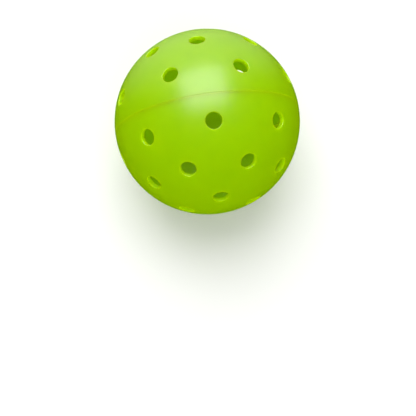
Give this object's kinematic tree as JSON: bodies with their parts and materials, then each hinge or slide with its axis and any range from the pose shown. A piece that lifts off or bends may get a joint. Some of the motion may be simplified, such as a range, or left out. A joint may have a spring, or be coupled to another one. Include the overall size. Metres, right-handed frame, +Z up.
{
  "type": "pickleball ball",
  "caption": "Hollow lime-green plastic ball for outdoor pickleball, moulded as two half shells welded at the seam and pierced all over by round air holes.",
  "frame": {"origin": "centre of the ball", "axes": "+Y through the rear half's pole, square to the seam; the seam lies in the XZ plane; +Z up through the seam, in the plane of a crown hole and a belt hole of the front half"},
  "size_m": [0.074, 0.074, 0.074],
  "materials": {
    "shell_plastic": "moulded polyethylene, soft sheen",
    "weld_plastic": "remelted polyethylene, smooth"
  },
  "bodies": {
    "root": {"front_half_shell": "shell_plastic", "rear_half_shell": "shell_plastic", "weld_bead": "weld_plastic"}
  },
  "joints": []
}
